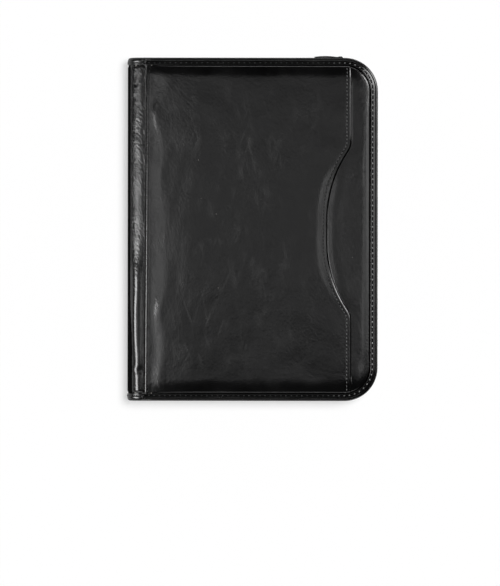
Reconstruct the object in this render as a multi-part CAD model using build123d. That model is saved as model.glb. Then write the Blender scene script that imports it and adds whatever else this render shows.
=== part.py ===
from build123d import *
import math
import os

# A zip-round leather padfolio, closed and lying on its back cover.
# +X runs from the spine to the fore edge, +Y to the head, +Z up through the front cover.

# Writing pad, letter size, and the room round it that sets the covers' size
pad_width = 215.9
pad_height = 279.4
pad_fore_side = 9.4       # to the covers' fore edge
pad_end_side = 25.3       # to the covers' head and tail
pad_side_gap = 1.0        # between the pen loop and the pad
pad_card_thickness = 0.8
pad_sheets_thickness = 5.0
pad_tape_thickness = 0.3
pad_tape_lap = 22.0
lie_gap = 0.1             # between stacked loose sheets

# Covers
corner_radius = 32.0
inner_depth = 15.0        # between the two linings when closed

# Sheets and boards
leather = 1.0
binding_leather = 0.8
board_thickness = 1.6
lining_thickness = 0.5
tape_thickness = 0.5
padding = 2.4             # rise of the foam over the board
padding_roll = 8.5        # how far the padded edge takes to rise
roll_radius = 16.0        # rounding where the roll meets the flat
seam_margin = 5.5         # stitched-down edge that laps over the spine leather

# Edge binding
binding_width = 7.7       # on the outer face
return_gap = 0.15         # between the binding's turned-under edge and the zip tape
binding_bevel = 1.1       # along the folded edge
seat = 0.1                # room between a tucked edge and what it is tucked into
board_inset = 1.5         # board edge back from the binding's inner wall

# Front pocket mouth
mouth_inset = 25.6        # straight part of the mouth, in from the fore edge
mouth_depth = 23.4
mouth_half = 82.3
mouth_flat_half = 44.3
mouth_centre = -1.3
mouth_corner_radius = 14.0
mouth_sweep_radius = 118.0

# Spine
spine_strip = 18.5        # spine leather that shows beside the front seam
spine_radius = 7.0
flap_end_gap = 0.4        # between the spine leather's flap and the padding
lining_joint = 2.2        # spine lining reaches past the fold centre
pen_loop_bore = 9.2
pen_loop_band = 0.8
pen_loop_length = 38.0
pen_loop_foot = 6.8
pen_loop_y = 20.0

# Zip
chain_inset = 2.9         # chain plane in from the cover's edge
zip_end_inset = 23.5      # both ends of the chain, in from the spine's back
tape_tail = 12.0          # tape past the last tooth
tooth_pitch = 4.0
tooth_thickness = 2.4
tooth_root = 2.6          # from the chain's middle line to the tape
tooth_root_half = 1.25
tooth_neck = 0.65
tooth_head = 0.32
tooth_interlock = 0.06    # how far each head reaches past the other row's
tooth_clear = 0.16        # between meshed teeth
tooth_tip = 1.0
tooth_tip_half = 0.55
parting = 1.9             # each row stands back by this ahead of the slider
tape_edge_gap = 0.05

# Slider and pull
slider_inset = 36.0       # slider in from the fore edge
slider_length = 11.0
slider_rear_half = 3.6
slider_plate = 1.0
slider_corner = 1.2
plate_clear = 0.4         # between the teeth and the plates
slider_wall = 0.8
slider_clear = 0.25
slot_half = 0.55          # the tape runs through this slot
straight_share = 0.55     # of the slider's length, from its wide end
bridge_length = 6.4
bridge_width = 1.6
bridge_wall = 0.4         # metal over the pull's pin
post_length = 3.0         # wedge between the rows, at the slider's wide end
post_tip_half = 0.15
pin_radius = 0.65
pin_clear = 0.15
pull_length = 25.0
pull_bow = 0.7            # the tab arches outwards by this
pull_width = 7.0
pull_neck_width = 4.6
pull_thickness = 1.3
pull_lift = 0.35          # between the pull and the slider's plate
pull_end_flat = 0.4
pull_arm = 1.1
pull_hole = 1.6
stop_length = 2.4
stop_thickness = 3.8
bottom_stop_length = 3.2
stop_bevel = 0.5

# Inside pockets
pocket_sheet = 0.6
pocket_wall = 0.8
pocket_room = 0.5         # beside the pad's card
pad_pocket_height = 202.0
document_space = 1.0
document_side = 14.5      # in from the fore edge
document_fold_side = 8.7  # in from the fold
document_tail_side = 15.0
document_height = 180.0
card_slot_width = 96.0
card_slot_side = 6.0      # in from the document pocket's side
card_slot_rise = 18.0     # above the document pocket's mouth
card_slot_heights = (57.0, 45.0, 33.0)

# Levels, from the face it rests on upwards
back_board_low = leather + padding
back_board_high = back_board_low + board_thickness
back_inside = back_board_high + lining_thickness
front_inside = back_inside + inner_depth
front_board_low = front_inside + lining_thickness
front_board_high = front_board_low + board_thickness
flange_high = front_board_high + leather
middle = (back_inside + front_inside) / 2

# Places that several pieces share
spine_build = binding_leather + leather + board_thickness + lining_thickness
pad_spine_side = spine_build + pen_loop_bore + 2 * pen_loop_band + pad_side_gap
half_width = (pad_spine_side + pad_width + pad_fore_side) / 2
half_height = pad_height / 2 + pad_end_side
tuck = binding_leather + seat
panel_inset = binding_width + 2 * seat
spine_back = -half_width + binding_leather
fold_x = spine_back + spine_radius
seam_x = -half_width + spine_strip
panel_left = seam_x + seam_margin
chain_y = half_height - chain_inset
binding_return = chain_inset - tape_thickness / 2 - return_gap
zip_end_x = -half_width + zip_end_inset
slider_x = half_width - slider_inset
mouth_x = half_width - mouth_inset
binding_low = front_inside - tape_thickness - binding_leather
binding_high = flange_high + binding_leather
beyond = 20.0             # cutters reach this far past what they cut
over = 1.0                # and this far where little room is needed

os.makedirs("parts", exist_ok=True)


def save(name, shape):
    export_step(shape, f"parts/{name}.step")


def to_back(shape):
    return mirror(shape, about=Plane.XY.offset(middle))


# A cover's outline: straight at the spine side, rounded at the fore edge
def cover_face(inset, left):
    right = half_width - inset
    top = half_height - inset
    corners = [(left, -top), (right, -top), (right, top), (left, top)]
    face = make_face(Polyline(*corners, close=True))
    return fillet(face.vertices().group_by(Axis.X)[-1], corner_radius - inset)


def slab(inset, left, low, high):
    return Pos(0, 0, low) * extrude(cover_face(inset, left), high - low)


def block(x0, x1, y0, y1, z0, z1):
    centre = Pos((x0 + x1) / 2, (y0 + y1) / 2, (z0 + z1) / 2)
    return centre * Box(x1 - x0, y1 - y0, z1 - z0)


# The padding's crown: a flat top with sides that roll down to the sewn edge
def padding_crown():
    low = Pos(0, 0, front_board_high) * cover_face(panel_inset, panel_left)
    inner = cover_face(panel_inset + padding_roll, panel_left + padding_roll)
    high = Pos(0, 0, front_board_high + padding) * inner
    body = loft([low, high], ruled=True)
    rim = body.faces().sort_by(Axis.Z)[-1].edges()
    return fillet(rim, roll_radius)


crown = padding_crown()


def seam_lap(right):
    top = half_height - panel_inset
    return block(seam_x, right, -top, top, flange_high, flange_high + leather)


def base_panel():
    sheet = slab(tuck, panel_left, front_board_high, flange_high)
    return sheet + Pos(0, 0, leather) * crown - crown


def back_panel():
    lap_right = panel_left + padding_roll * leather / padding
    outer = slab(tuck, panel_left, front_board_high, flange_high)
    outer = outer + Pos(0, 0, leather) * crown + seam_lap(lap_right)
    return to_back(outer - crown)


# Everything on the spine side of the scooped pocket mouth
def mouth_face():
    top = half_height + beyond
    inner = mouth_x - mouth_depth
    edge = [
        (mouth_x, top),
        (mouth_x, mouth_centre + mouth_half),
        (inner, mouth_centre + mouth_flat_half),
        (inner, mouth_centre - mouth_flat_half),
        (mouth_x, mouth_centre - mouth_half),
        (mouth_x, -top),
    ]
    small, large = mouth_corner_radius, mouth_sweep_radius
    scoop = FilletPolyline(*edge, radius=[small, large, large, small])
    far = -half_width - beyond
    rest = Polyline(edge[-1], (far, -top), (far, top), edge[0])
    return make_face(scoop + rest)


def pocket_panel():
    lower = Pos(0, 0, leather) * crown
    sheet = slab(panel_inset, panel_left, flange_high, flange_high + leather)
    sheet = sheet + Pos(0, 0, leather) * lower - lower + seam_lap(panel_left)
    return sheet & extrude(mouth_face(), flange_high + padding + beyond)


# A folded strip sewn round head, fore edge and tail
def edge_binding():
    strip = slab(0, fold_x, binding_low, binding_high)
    ends = strip.faces().sort_by(Axis.Z)
    rim = ends[0].edges() + ends[-1].edges()
    rim = rim.filter_by(lambda e: e.center().X > fold_x + seat)
    strip = chamfer(rim, binding_bevel)
    far = fold_x - beyond
    strip -= slab(binding_width, far, flange_high - seat, binding_high + seat)
    strip -= slab(binding_leather, far, front_inside - tape_thickness, flange_high)
    return strip - slab(binding_return, far, binding_low - seat, front_inside)


def board():
    return slab(binding_leather + board_inset, fold_x, front_board_low, front_board_high)


def cover_lining():
    return slab(tuck, fold_x + lining_joint, front_inside, front_board_low)


# Where each row stands back, as a share of the parting, along the head edge
def parted(x):
    rear = slider_x + slider_length / 2
    front = slider_x - slider_length / 8
    return min(1.0, max(0.0, (rear - x) / (rear - front)))


# Zip tape: a flange in the binding and a wall down to the teeth
def zip_tape():
    left = zip_end_x - tape_tail
    outer = chain_inset - tape_thickness / 2
    inner = chain_inset + tape_thickness / 2
    low = middle + tooth_root + tape_edge_gap
    flange = slab(tuck, left, front_inside - tape_thickness, front_inside)
    wall = slab(outer, left, low, front_inside)
    tape = flange + wall - slab(inner, left - beyond, low - seat, front_inside + seat)
    rear = slider_x + slider_length / 2 + tooth_pitch / 2
    front = slider_x
    far = left - beyond
    bay = [(far, low - over), (rear, low - over), (rear, low), (front, low + parting), (far, low + parting)]
    bay_face = Plane.XZ * make_face(Polyline(*bay, close=True))
    return tape - Pos(0, half_height, 0) * extrude(bay_face, amount=corner_radius, both=True)


def tooth_solid():
    head_half = tooth_pitch / 4 + tooth_interlock
    neck_half = tooth_pitch / 2 - head_half - 2 * tooth_clear
    half = [
        (tooth_root_half, -tooth_root),
        (neck_half, -tooth_neck),
        (head_half, tooth_head),
        (tooth_tip_half, tooth_tip),
    ]
    other = [(-u, v) for u, v in reversed(half)]
    face = make_face(Polyline(*half, *other, close=True))
    return extrude(face, tooth_thickness / 2, both=True)


# A point on the chain by its distance from the head end, with its direction and outward side
def chain_place(s):
    radius = corner_radius - chain_inset
    bend_x = half_width - corner_radius
    bend_y = half_height - corner_radius
    run = bend_x - zip_end_x
    bend = radius * math.pi / 2
    side = 2 * bend_y
    if s <= run:
        return (zip_end_x + s, chain_y), (1, 0), (0, 1)
    s -= run
    if s <= bend:
        a = math.pi / 2 - s / radius
        out = (math.cos(a), math.sin(a))
        return (bend_x + radius * out[0], bend_y + radius * out[1]), (out[1], -out[0]), out
    s -= bend
    if s <= side:
        return (half_width - chain_inset, bend_y - s), (0, -1), (1, 0)
    s -= side
    if s <= bend:
        a = -s / radius
        out = (math.cos(a), math.sin(a))
        return (bend_x + radius * out[0], radius * out[1] - bend_y), (out[1], -out[0]), out
    s -= bend
    return (bend_x - s, -chain_y), (-1, 0), (0, -1)


def chain_length():
    radius = corner_radius - chain_inset
    runs = 2 * (half_width - corner_radius - zip_end_x) + 2 * (half_height - corner_radius)
    return runs + math.pi * radius


# One row of separate teeth; side is 1 for the front row, -1 for the back row
def teeth_row(side):
    tooth = tooth_solid()
    shift = 0.0 if side > 0 else tooth_pitch / 2
    count = int((chain_length() - tooth_pitch) / tooth_pitch)
    row = []
    for i in range(count):
        (x, y), along, out = chain_place(tooth_pitch / 2 + shift + i * tooth_pitch)
        back = parting * parted(x) if y > half_height - corner_radius else 0.0
        origin = (x, y, middle + side * back)
        place = Plane(origin, x_dir=(*along, 0), z_dir=(*out, 0))
        row.append(place.location * Rot(0, 0, 0 if side > 0 else 180) * tooth)
    return Compound(children=row)


def top_stop():
    x1 = zip_end_x - tape_edge_gap
    low = middle + parting - tooth_tip
    half = stop_thickness / 2
    high = middle + tooth_root + parting
    stop = block(x1 - stop_length, x1, chain_y - half, chain_y + half, low, high)
    return chamfer(stop.edges().filter_by(Axis.X), stop_bevel)


def bottom_stop():
    half = stop_thickness / 2
    x1 = zip_end_x - tape_edge_gap
    x0 = x1 - bottom_stop_length
    stop = block(x0, x1, -chain_y - half, half - chain_y, middle - tooth_root, middle + tooth_root)
    return chamfer(stop.edges().filter_by(Axis.X), stop_bevel)


# Slider, drawn flat: u along the chain, v across it, w outwards
slider_half = tooth_root + parting + slider_clear + slider_wall
plate_in = tooth_thickness / 2 + plate_clear
plate_out = plate_in + slider_plate
pin_rise = pull_lift + pull_thickness / 2
pin_w = plate_out + pin_rise
bridge_top = pin_w + pin_radius + pin_clear + bridge_wall
slider_turn = (straight_share - 0.5) * slider_length
slider_plane = Plane((slider_x, chain_y, middle), x_dir=(1, 0, 0), z_dir=(0, 1, 0))


def slider_outline():
    front = -slider_length / 2
    rear = slider_length / 2
    half = [(front, slider_half), (slider_turn, slider_half), (rear, slider_rear_half)]
    other = [(u, -v) for u, v in reversed(half)]
    face = make_face(Polyline(*half, *other, close=True))
    return fillet(face.vertices(), slider_corner)


def slider_body():
    front = -slider_length / 2
    plate = extrude(slider_outline(), slider_plate)
    body = Pos(0, 0, plate_in) * plate + Pos(0, 0, -plate_out) * plate
    wall_in = slider_half - slider_wall
    wall_front = front + slider_corner
    wall_rear = slider_turn - slider_corner
    for v0, v1 in ((wall_in, slider_half), (-slider_half, -wall_in)):
        body += block(wall_front, wall_rear, v0, v1, slot_half, plate_in)
        body += block(wall_front, wall_rear, v0, v1, -plate_in, -slot_half)
    post_half = parting - tooth_tip - slider_clear
    post_end = front + post_length
    wedge = [(front, -post_half), (front, post_half), (post_end, post_tip_half), (post_end, -post_tip_half)]
    body += extrude(make_face(Polyline(*wedge, close=True)), plate_in, both=True)
    arch = [
        (-bridge_length / 2, plate_out),
        (bridge_length / 2, plate_out),
        (bridge_length / 4, bridge_top),
        (-bridge_length / 4, bridge_top),
    ]
    arch_face = Plane.XZ * make_face(Polyline(*arch, close=True))
    body += extrude(arch_face, bridge_width / 2, both=True)
    eye = Pos(0, 0, pin_w) * Rot(90, 0, 0) * Cylinder(pin_radius + pin_clear, 4 * bridge_width)
    return slider_plane.location * (body - eye)


# The pull's tab from the side: a strip that arches outwards between its ends
def bowed_strip(start, end, half):
    centre = (start + end) / 2
    low = ThreePointArc((start, -half), (centre, pull_bow - half), (end, -half))
    high = ThreePointArc((start, half), (centre, pull_bow + half), (end, half))
    ends = Line((start, -half), (start, half)) + Line((end, -half), (end, half))
    return extrude(Plane.XZ * make_face(low + high + ends), pull_width / 2, both=True)


# Pull: a pin through the bridge, two arms and a tapered tab lying towards the spine
def pull():
    inner = bridge_width / 2 + slider_clear
    arm_out = inner + pull_arm
    tab_start = -math.hypot(bridge_length / 2, pin_rise) - slider_clear
    pin = Rot(90, 0, 0) * Cylinder(pin_radius, 2 * arm_out)
    half = pull_thickness / 2
    body = pin
    for v0, v1 in ((inner, arm_out), (-arm_out, -inner)):
        body += block(tab_start - pull_arm, 0, v0, v1, -half, half)
        body += Pos(0, (v0 + v1) / 2, 0) * Rot(90, 0, 0) * Cylinder(half, pull_arm)
    edge = [(tab_start, pull_neck_width / 2), (-pull_length, pull_width / 2)]
    other = [(u, -v) for u, v in reversed(edge)]
    tab = make_face(Polyline(*edge, *other, close=True))
    tab = fillet(tab.vertices().group_by(Axis.X)[0], (pull_width - pull_end_flat) / 2)
    tab -= Pos(-pull_length + pull_width / 2, 0) * Circle(pull_hole)
    body += bowed_strip(tab_start, -pull_length, half) & extrude(tab, half + pull_bow, both=True)
    return slider_plane.location * Pos(0, 0, pin_w) * body


# Spine sheets: a U round the back, open towards the fore edge
def spine_sheet(back, right, low, high, radius, thickness, inset):
    far = right + beyond

    def u_face(step):
        near, bottom, top = back + step, low + step, high - step
        corners = [(near, bottom), (far, bottom), (far, top), (near, top)]
        face = make_face(Polyline(*corners, close=True))
        return fillet(face.vertices().group_by(Axis.X)[0], radius - step)

    section = u_face(0) - u_face(thickness)
    reach = half_height - inset
    sheet = extrude(Plane.XZ * section, reach, both=True)
    return sheet - block(right, far + beyond, -reach - over, reach + over, low - over, high + over)


spine_low = back_board_low - leather
lining_back = spine_back + leather + board_thickness
lining_radius = spine_radius - leather - board_thickness


def spine_cover():
    right = panel_left - flap_end_gap
    return spine_sheet(spine_back, right, spine_low, flange_high, spine_radius, leather, tuck)


def spine_lining():
    right = fold_x + lining_joint
    low, high = back_board_high, front_board_low
    return spine_sheet(lining_back, right, low, high, lining_radius, lining_thickness, tuck)


def spine_stiffener():
    low = spine_low + spine_radius
    high = flange_high - spine_radius
    back = spine_back + leather
    reach = half_height - panel_inset
    return block(back, back + board_thickness, -reach, reach, low, high)


# A folded strip over one end of the spine, following its U
def spine_binding():
    low = spine_low - binding_leather
    high = flange_high + binding_leather
    depth = lining_back + lining_thickness + binding_leather - (spine_back - binding_leather)
    radius = spine_radius + binding_leather
    strip = spine_sheet(spine_back - binding_leather, fold_x, low, high, radius, depth, 0)
    strip &= block(-half_width - over, fold_x, half_height - binding_width, half_height, low, high)
    rim = strip.faces().sort_by(Axis.Y)[-1].edges()
    rim = rim.filter_by(lambda e: e.center().X < fold_x - seat)
    strip = chamfer(rim, binding_bevel)
    filling = lining_back + lining_thickness - spine_back
    slot = spine_sheet(spine_back, fold_x, spine_low, flange_high, spine_radius, filling, binding_leather)
    slot &= block(-half_width, fold_x, 0, half_height, spine_low, flange_high)
    return strip - slot


# Elastic loop for a pen, sewn to the spine lining
def pen_loop():
    radius = pen_loop_bore / 2 + pen_loop_band
    x0 = lining_back + lining_thickness
    loop = Circle(radius) - Circle(pen_loop_bore / 2)
    foot = Pos(-radius + pen_loop_band / 2, 0) * Rectangle(pen_loop_band, pen_loop_foot)
    section = loop + foot - Circle(pen_loop_bore / 2)
    body = extrude(Plane.XZ * section, pen_loop_length / 2, both=True)
    return Pos(x0 + radius, pen_loop_y, middle) * body


# Levels of the pad and its pocket, up from the back lining
card_low = back_inside + lie_gap
card_high = card_low + pad_card_thickness
pad_pocket_low = card_high + lie_gap
pad_pocket_high = pad_pocket_low + pocket_sheet
sheets_low = pad_pocket_high + lie_gap
sheets_high = sheets_low + pad_sheets_thickness
pad_left = -half_width + pad_spine_side
pad_right = pad_left + pad_width
pad_top = pad_height / 2


def pad_pocket():
    x0 = pad_left - pocket_room
    x1 = pad_right + pocket_room
    y0 = -pad_top - pocket_room
    wall = pocket_wall
    mouth = y0 + pad_pocket_height
    shell = block(x0 - wall, x1 + wall, y0 - wall, mouth, back_inside, pad_pocket_high)
    return shell - block(x0, x1, y0, mouth + over, back_inside - over, pad_pocket_low)


def pad_head_tape():
    tape_high = sheets_high + pad_tape_thickness
    edge_y = pad_top + pad_tape_thickness
    lap = block(pad_left, pad_right, pad_top - pad_tape_lap, edge_y, sheets_high, tape_high)
    return lap + block(pad_left, pad_right, pad_top, edge_y, card_low, tape_high)


# Document pocket and card slots on the front lining
document_left = fold_x + document_fold_side
document_right = half_width - document_side
document_tail = -half_height + document_tail_side
document_mouth = document_tail + document_height


def document_pocket():
    wall = pocket_wall
    room_low = front_inside - document_space
    x0, x1 = document_left, document_right
    shell = block(x0, x1, document_tail, document_mouth, room_low - pocket_sheet, front_inside)
    y0, y1 = document_tail + wall, document_mouth + over
    return shell - block(x0 + wall, x1 - wall, y0, y1, room_low, front_inside + over)


def card_slot(i):
    high = front_inside - i * pocket_sheet
    x0 = document_left + card_slot_side
    y0 = document_mouth + card_slot_rise
    return block(x0, x0 + card_slot_width, y0, y0 + card_slot_heights[i], high - pocket_sheet, high)


save("front_board", board())
save("front_foam", crown)
save("front_base_panel", base_panel())
save("front_pocket_panel", pocket_panel())
save("front_binding", edge_binding())
save("front_lining", cover_lining())
save("front_zip_tape", zip_tape())
save("front_zip_teeth", teeth_row(1))
save("front_top_stop", top_stop())
save("document_pocket", document_pocket())
for i in range(len(card_slot_heights)):
    save(f"card_slot_{i + 1}", card_slot(i))

save("back_board", to_back(board()))
save("back_foam", to_back(crown))
save("back_panel", back_panel())
save("back_binding", to_back(edge_binding()))
save("back_lining", to_back(cover_lining()))
save("back_zip_tape", to_back(zip_tape()))
save("back_zip_teeth", teeth_row(-1))
save("back_top_stop", to_back(top_stop()))
save("zip_bottom_stop", bottom_stop())
save("pad_pocket", pad_pocket())
save("pad_card", block(pad_left, pad_right, -pad_top, pad_top, card_low, card_high))
save("pad_sheets", block(pad_left, pad_right, -pad_top, pad_top, sheets_low, sheets_high))
save("pad_head_tape", pad_head_tape())

save("spine_cover", spine_cover())
save("spine_stiffener", spine_stiffener())
save("spine_lining", spine_lining())
save("spine_head_binding", spine_binding())
save("spine_tail_binding", mirror(spine_binding(), about=Plane.XZ))
save("pen_loop", pen_loop())

save("slider_body", slider_body())
save("zip_pull_tab", pull())
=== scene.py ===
import bpy
import bmesh
import math
import numpy as np
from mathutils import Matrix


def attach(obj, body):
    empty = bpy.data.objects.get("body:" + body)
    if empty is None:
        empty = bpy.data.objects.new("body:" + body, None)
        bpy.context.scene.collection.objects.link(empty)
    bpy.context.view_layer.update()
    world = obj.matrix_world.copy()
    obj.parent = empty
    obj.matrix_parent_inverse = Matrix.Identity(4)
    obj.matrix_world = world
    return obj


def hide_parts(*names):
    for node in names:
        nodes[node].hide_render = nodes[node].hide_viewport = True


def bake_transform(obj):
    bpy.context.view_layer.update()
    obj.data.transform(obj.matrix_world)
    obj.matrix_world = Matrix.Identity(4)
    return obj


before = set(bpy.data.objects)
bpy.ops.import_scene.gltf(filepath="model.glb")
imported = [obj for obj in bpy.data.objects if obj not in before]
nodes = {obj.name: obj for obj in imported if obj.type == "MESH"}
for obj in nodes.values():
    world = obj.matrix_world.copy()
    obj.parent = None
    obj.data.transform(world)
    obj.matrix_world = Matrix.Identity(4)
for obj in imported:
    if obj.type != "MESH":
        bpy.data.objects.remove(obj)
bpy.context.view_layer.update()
scene = bpy.context.scene
mm = 0.001
print("frame loaded:", len(nodes), "nodes")

# the padfolio lies closed on its back cover, spine at -X, head at +Y
cover = {
    "halfWidth": 120.5, "halfHeight": 165.0, "cornerRadius": 32.0,
    "middle": 13.0,  # half-way between the two covers
    "sewnInset": 7.9,  # where the panels meet the binding
    "gapInset": 7.5,  # the gap between them: a crease, painted dark as shade
    "seamX": -102.0,  # panel's sewn edge beside the spine
    "seamAskew": 0.9,  # the seam leans by this at head and tail
    "padX": -96.5,  # the padding starts here
    "boardTop": 22.6, "flangeTop": 23.6,
}


# mesh helpers, all in millimetres until the mesh is made
def makeObject(name, points, faces, edges=()):
    mesh = bpy.data.meshes.new(name)
    mesh.from_pydata((np.asarray(points, float) * mm).tolist(), list(edges), faces)
    mesh.update()
    obj = bpy.data.objects.new(name, mesh)
    scene.collection.objects.link(obj)
    return obj


def tidyNormals(obj):
    work = bmesh.new()
    work.from_mesh(obj.data)
    bmesh.ops.recalc_face_normals(work, faces=work.faces)
    for face in work.faces:
        face.smooth = True
    work.to_mesh(obj.data)
    work.free()
    obj.data.update()
    return obj


def solid(name, points, faces):
    return tidyNormals(makeObject(name, points.reshape(-1, 3), faces))


def gridFaces(rows, cols, wrapRows=0, wrapCols=0):
    grid = np.pad(np.arange(rows * cols).reshape(rows, cols), ((0, wrapRows), (0, wrapCols)), "wrap")
    return np.stack([grid[:-1, :-1], grid[:-1, 1:], grid[1:, 1:], grid[1:, :-1]], -1).reshape(-1, 4)


def closedSheet(name, outer, inner):
    rows, cols = outer.shape[:2]
    under = rows * cols
    grid, quads = np.arange(under).reshape(rows, cols), gridFaces(rows, cols)
    rim = np.concatenate([grid[0], grid[1:, -1], grid[-1, -2::-1], grid[-2:0:-1, 0]])
    ahead = np.roll(rim, -1)
    sides = np.stack([ahead, rim, rim + under, ahead + under], -1)
    faces = np.concatenate([quads, quads[:, ::-1] + under, sides])
    return solid(name, np.concatenate([outer, inner]), faces.tolist())


def slab(name, x, y, face, hidden, front=True):
    walls = [np.stack(np.broadcast_arrays(x, y, z), -1) for z in (face, hidden)]
    return closedSheet(name, *(onSide(wall, front) for wall in walls))


def closedTube(name, rings):
    rows, cols = rings.shape[:2]
    ends = [list(range(cols))[::-1], list(range((rows - 1) * cols, rows * cols))]
    return solid(name, rings, gridFaces(rows, cols, 0, 1).tolist() + ends)


def onSide(points, front):
    turned = np.array(points, float)
    if not front:  # the back cover mirrors the front one
        turned[..., -1] = 2 * cover["middle"] - turned[..., -1]
    return turned


def waves(x, y, size, seed, count=7):
    pick = np.random.default_rng(seed)
    total = np.zeros(np.broadcast(x, y).shape)
    for _ in range(count):
        turn, phase, scale = pick.uniform(0, 6.283), pick.uniform(0, 6.283), pick.uniform(0.7, 1.5)
        total = total + np.sin((x * math.cos(turn) + y * math.sin(turn)) * 6.283 / (size * scale) + phase)
    return total / math.sqrt(count)


def softStep(t):
    t = np.clip(t, 0, 1)
    return t * t * (3 - 2 * t)


def bell(away, width):
    return np.exp(-((away / width) ** 2))


def crease(away, half):
    return np.maximum(0, 1 - np.abs(away) / half)


def roundOff(distance, drop, radius=0.6):
    t = np.clip(distance / radius, 0, 1)
    return drop * (1 - np.sqrt(np.maximum(1 - (1 - t) ** 2, 0)))


def edgeSpaced(low, high, step, near):
    near = np.asarray(near, float)
    count = max(2, int((high - low - 2 * near[-1]) / step))
    inside = np.linspace(low + near[-1], high - near[-1], count + 1)[1:-1]
    return np.concatenate([low + near, inside, (high - near)[::-1]])


def between(start, end, count):
    share = np.linspace(0, 1, count + 2)[1:-1]
    return start[:, None] + (end - start)[:, None] * share


# the cover's outline: straight at the spine, round at the fore edge
halfWidth, halfHeight, cornerRadius = (cover[size] for size in ("halfWidth", "halfHeight", "cornerRadius"))
bendX, bendY = halfWidth - cornerRadius, halfHeight - cornerRadius


def edgeDistance(x, y):
    ax, ay = x - bendX, np.abs(y) - bendY
    corner = cornerRadius - np.hypot(np.maximum(ax, 0), np.maximum(ay, 0))
    straight = np.minimum(halfWidth - x, halfHeight - np.abs(y))
    return np.where((ax > 0) & (ay > 0), corner, straight)


def foreEdge(y, inset):
    r = cornerRadius - inset
    past = np.clip(np.abs(y) - bendY, 0, r)
    return halfWidth - inset - r + np.sqrt(np.maximum(r * r - past * past, 0))


def outlinePath(left, step=3.0, arcSteps=26):
    count = int((bendX - left) / step)
    turn = np.linspace(math.pi / 2, -math.pi / 2, 2 * arcSteps, endpoint=False)
    centreY = np.repeat([bendY, -bendY], arcSteps)
    arcs = np.column_stack([bendX + cornerRadius * np.cos(turn), centreY + cornerRadius * np.sin(turn)])
    head = np.linspace((left, halfHeight), (bendX, halfHeight), count, endpoint=False)
    fore = np.linspace((halfWidth, bendY), (halfWidth, -bendY), int(2 * bendY / step), endpoint=False)
    tail = np.linspace((bendX, -halfHeight), (left, -halfHeight), count + 1)
    return np.concatenate([head, arcs[:arcSteps], fore, arcs[arcSteps:], tail])


def insetPath(left, inset, z):
    path = outlinePath(left)
    x, y = path.T
    out = np.stack([np.clip(x - bendX, 0, None), np.sign(y) * np.clip(np.abs(y) - bendY, 0, None)], -1)
    out /= np.linalg.norm(out, axis=1)[:, None]
    return np.insert(path - inset * out, 2, z, axis=1)


def roundedPath(corners, radii, arcSteps=16):
    corners = [np.array(c, float) for c in corners]
    path = [corners[0]]
    for before, at, after, radius in zip(corners, corners[1:], corners[2:], radii):
        u, v = ((end - at) / np.linalg.norm(end - at) for end in (before, after))
        half = math.acos(np.clip(u @ v, -1, 1)) / 2
        centre = at + (u + v) / np.linalg.norm(u + v) * radius / math.sin(half)
        a0, a1 = (at + way * radius / math.tan(half) - centre for way in (u, v))
        for t in np.linspace(0, 1, arcSteps):
            mixed = a0 * (1 - t) + a1 * t
            path.append(centre + mixed / np.linalg.norm(mixed) * radius)
    return np.array(path + [corners[-1]])


# node helpers: an input is given a number, or a socket to link, whose tree is then the node's
def link(socket, to):
    socket.id_data.links.new(socket, to)


def addNode(tree, kind, inputs=None, **settings):
    node = tree.nodes.new(kind if "Node" in kind else "ShaderNode" + kind)
    for key, value in settings.items():
        setattr(node, key, value)
    for label, value in (inputs or {}).items():
        if isinstance(value, bpy.types.NodeSocket):
            link(value, node.inputs[label])
        elif value is not None:
            node.inputs[label].default_value = value
    return node


def outputOf(*node, **settings):
    return addNode(*node, **settings).outputs[0]


def newTree(kind, name, inputs, outputs):
    tree = bpy.data.node_groups.new(name, kind)
    for way, sockets in (("INPUT", inputs), ("OUTPUT", outputs)):
        for label, value in sockets.items():
            number = isinstance(value, float)
            kindOf = "NodeSocketFloat" if number else "NodeSocket" + value
            socket = tree.interface.new_socket(label, in_out=way, socket_type=kindOf)
            if number:
                socket.default_value = value
    return tree, addNode(tree, "NodeGroupInput").outputs, addNode(tree, "NodeGroupOutput").inputs


def mathNode(operation, a, b=None):
    tree = (a if isinstance(a, bpy.types.NodeSocket) else b).id_data
    return outputOf(tree, "Math", {0: a, 1: b}, operation=operation)


def times(a, b):
    return mathNode("MULTIPLY", a, b)


def plus(a, b):
    return mathNode("ADD", a, b)


def valueRange(value, low=0.0, high=1.0, fromLow=0.3, fromHigh=0.7):
    inputs = {0: value, 1: fromLow, 2: fromHigh, 3: low, 4: high}
    return outputOf(value.id_data, "MapRange", inputs)


def noise(vector, scale, detail=2.0, **more):
    inputs = {"Vector": vector, "Scale": scale, "Detail": detail}
    inputs.update({label.capitalize(): value for label, value in more.items()})
    return outputOf(vector.id_data, "TexNoise", inputs)


def stretchedNoise(vector, lean, stretch, scale, detail, distortion):
    inputs = {"Vector": vector, "Rotation": (0, 0, math.radians(lean)), "Scale": (1, stretch, 1)}
    turned = outputOf(vector.id_data, "Mapping", inputs, vector_type="TEXTURE")
    return noise(turned, scale, detail, distortion=distortion)


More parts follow.
